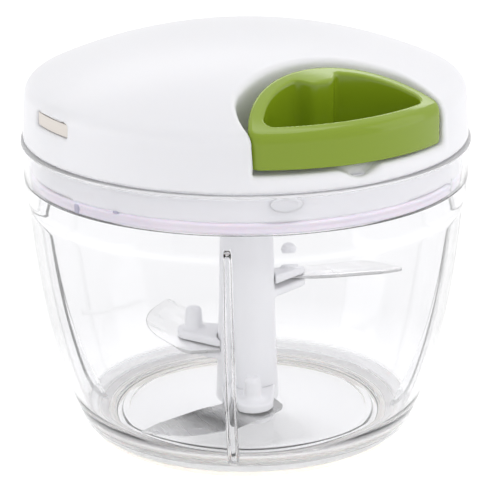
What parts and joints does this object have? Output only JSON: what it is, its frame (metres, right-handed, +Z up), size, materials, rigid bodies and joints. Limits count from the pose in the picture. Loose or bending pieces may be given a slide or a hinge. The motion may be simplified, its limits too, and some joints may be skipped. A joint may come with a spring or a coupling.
{
  "type": "pull-cord food chopper",
  "caption": "Hand-pulled food chopper with a clear bowl, domed white lid, green pull handle and steel blades on a white stem.",
  "frame": {"origin": "centre of the base ring's underside, where the bowl stands", "axes": "+Z up along the blade stem; -Y is the direction the handle is pulled; +X is to the right of a person who faces the handle"},
  "size_m": [0.1324, 0.1324, 0.122],
  "materials": {
    "clear_plastic": "clear polished",
    "white_plastic": "smooth, softly glossy",
    "green_plastic": "glossy lime green",
    "grip_rubber": "matt off-white non-slip",
    "seal_silicone": "satin lilac grey",
    "beige_plastic": "satin",
    "blade_steel": "polished with fine grinding marks",
    "pin_steel": "turned",
    "spring_steel": "blued strip",
    "nylon": "natural nylon",
    "cord": "braided"
  },
  "bodies": {
    "bowl": {"bowl": "clear_plastic", "base_ring": "grip_rubber", "pivot_pin": "pin_steel"},
    "seal": {"seal_ring": "seal_silicone"},
    "lid": {"lid_cover": "white_plastic", "lid_base": "white_plastic", "side_clip_left": "beige_plastic", "side_clip_right": "beige_plastic", "lid_screw_1": "pin_steel", "lid_screw_2": "pin_steel", "lid_screw_3": "pin_steel", "bearing_bush": "nylon", "spring_case": "nylon", "spring_case_cover": "nylon", "thrust_washer": "nylon", "top_bush": "nylon", "cord_eyelet": "white_plastic", "cord_lead": "cord"},
    "drive": {"cord_reel": "white_plastic", "cord_winding": "cord", "spiral_spring": "spring_steel", "drive_shaft": "pin_steel", "drive_socket": "white_plastic", "blade_stem": "white_plastic", "foot_bush": "nylon", "blade_lower": "blade_steel", "blade_clamp_lower": "white_plastic", "blade_middle": "blade_steel", "blade_clamp_middle": "white_plastic", "blade_upper": "blade_steel", "blade_clamp_upper": "white_plastic"},
    "handle": {"handle": "green_plastic", "cord_tail": "cord", "cord_knot": "cord"}
  },
  "joints": [
    {"name": "lid_lift", "type": "slide", "parent": "bowl", "child": "seal", "axis": [0, 0, 1], "range_m": [0, 0.12]},
    {"name": "lid_turn", "type": "hinge", "parent": "seal", "child": "lid", "pos_m": [0, 0, 0.09], "axis": [0, 0, 1], "range_deg": [0, 25]},
    {"name": "reel_spin", "type": "hinge", "parent": "lid", "child": "drive", "pos_m": [0, 0, 0.1], "axis": [0, 0, 1], "range_deg": [0, 916], "stiffness_Nm_per_rad": 0.004, "springref_deg": -458.37},
    {"name": "handle_pull", "type": "slide", "parent": "lid", "child": "handle", "axis": [0, -1, 0], "range_m": [0, 0.32]}
  ],
  "couplings": [
    {"joint": "handle_pull", "follows": "reel_spin", "m_per_rad": 0.02}
  ]
}
